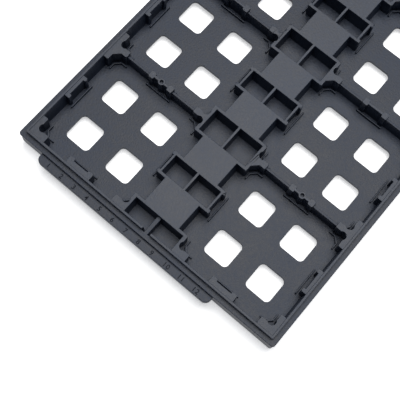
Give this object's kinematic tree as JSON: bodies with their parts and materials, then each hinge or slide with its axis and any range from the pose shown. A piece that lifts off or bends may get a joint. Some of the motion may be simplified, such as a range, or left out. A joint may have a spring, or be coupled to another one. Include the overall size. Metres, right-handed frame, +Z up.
{
  "type": "ic matrix tray",
  "caption": "Flat stacking matrix tray for square electronic modules: open windowed pockets in two columns, a celled centre spine, a stacking rim and end tabs.",
  "frame": {"origin": "centre of the base, on the plane that the foot rests on", "axes": "+X across the tray, +Y along it towards the far end tab, +Z up out of the pockets"},
  "size_m": [0.136, 0.3226, 0.0122],
  "materials": {
    "tray_plastic": "matt dark charcoal, fine moulded grain"
  },
  "bodies": {
    "root": {"tray": "tray_plastic"}
  },
  "joints": []
}
